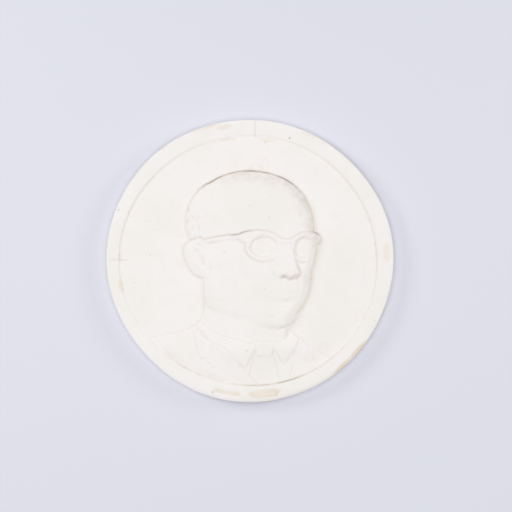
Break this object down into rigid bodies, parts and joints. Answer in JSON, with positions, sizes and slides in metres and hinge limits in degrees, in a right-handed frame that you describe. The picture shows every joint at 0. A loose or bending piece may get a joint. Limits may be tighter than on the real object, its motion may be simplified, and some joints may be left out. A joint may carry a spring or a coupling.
{
  "type": "portrait relief medallion",
  "caption": "Round plaster medallion with a raised rim and a low-relief head and shoulders in glasses, jacket, shirt and tie.",
  "frame": {"origin": "middle of the flat back, under the middle of the disc's outline", "axes": "+Z out of the relief, away from the flat back; +Y towards the top of the head; +X to the viewer's right"},
  "size_m": [0.2888, 0.285, 0.0272],
  "materials": {
    "cast_plaster": "matt, chalky cast plaster"
  },
  "bodies": {
    "root": {"plaster_medallion": "cast_plaster"}
  },
  "joints": []
}
